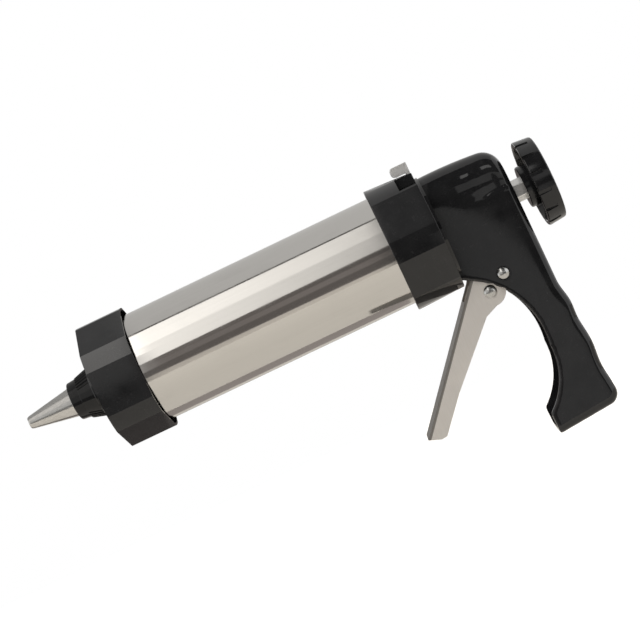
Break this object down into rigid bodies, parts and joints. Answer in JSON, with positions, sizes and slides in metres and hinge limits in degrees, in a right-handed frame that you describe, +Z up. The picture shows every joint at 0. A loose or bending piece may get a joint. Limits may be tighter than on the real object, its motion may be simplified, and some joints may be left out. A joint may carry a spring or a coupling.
{
  "type": "cake decorating syringe",
  "caption": "Pistol-grip cake decorating syringe: steel barrel with screwed plastic caps, piping tip, trigger-driven plunger rod, thumb release tab and pull knob.",
  "frame": {"origin": "on the barrel's axis, halfway along the steel that shows between cap and collar", "axes": "+X along the barrel towards the knob, +Z up, the grip hangs towards -Z, Y across"},
  "size_m": [0.2757, 0.0624, 0.1487],
  "materials": {
    "barrel_steel": "brushed lengthwise",
    "black_plastic": "moulded gloss",
    "nut_plastic": "moulded gloss",
    "adapter_plastic": "moulded satin",
    "piston_plastic": "moulded satin",
    "seal_rubber": "matt silicone",
    "tip_steel": "polished",
    "rod_steel": "polished",
    "trigger_steel": "satin",
    "plate_steel": "satin",
    "tab_steel": "satin",
    "spring_steel": "drawn wire",
    "fastener_steel": "polished"
  },
  "bodies": {
    "housing": {"handle": "black_plastic", "collar": "black_plastic", "guide_plate": "plate_steel", "guide_screws": "fastener_steel", "barrel": "barrel_steel", "barrel_seal": "seal_rubber", "nozzle_adapter": "adapter_plastic", "piping_tip": "tip_steel", "trigger_pin": "fastener_steel", "release_spring": "spring_steel", "drive_spring": "spring_steel"},
    "plunger": {"plunger_rod": "rod_steel", "piston": "piston_plastic", "piston_washer": "fastener_steel", "piston_nut": "fastener_steel", "knob": "black_plastic", "knob_screw": "fastener_steel"},
    "trigger": {"trigger": "trigger_steel", "trigger_rivet": "fastener_steel", "rivet_spacer": "fastener_steel"},
    "drive": {"drive_plate": "plate_steel"},
    "release": {"release_plate": "tab_steel"},
    "cap": {"front_cap": "black_plastic"},
    "nut": {"tip_nut": "nut_plastic"}
  },
  "joints": [
    {"name": "plunger_slide", "type": "slide", "parent": "housing", "child": "plunger", "axis": [1, 0, 0], "range_m": [0, 0.135]},
    {"name": "trigger_pull", "type": "hinge", "parent": "housing", "child": "trigger", "pos_m": [0.1078, 0, -0.0317], "axis": [0, -1, 0], "range_deg": [0, 28], "stiffness_Nm_per_rad": 0.15, "springref_deg": -20.05},
    {"name": "drive_slide", "type": "slide", "parent": "housing", "child": "drive", "axis": [-1, 0, 0], "range_m": [0, 0.0082], "deforming": ["drive_spring"]},
    {"name": "release_tilt", "type": "hinge", "parent": "housing", "child": "release", "pos_m": [0.0877, 0, -0.017], "axis": [0, -1, 0], "range_deg": [0, 5], "stiffness_Nm_per_rad": 0.2, "springref_deg": -5.73, "deforming": ["release_spring"]},
    {"name": "front_cap_turn", "type": "hinge", "parent": "housing", "child": "cap", "pos_m": [-0.076, 0, 0], "axis": [-1, 0, 0], "continuous": true},
    {"name": "tip_nut_turn", "type": "hinge", "parent": "housing", "child": "nut", "pos_m": [-0.096, 0, 0], "axis": [-1, 0, 0], "continuous": true}
  ],
  "couplings": [
    {"joint": "drive_slide", "follows": "trigger_pull", "m_per_rad": 0.01655}
  ]
}
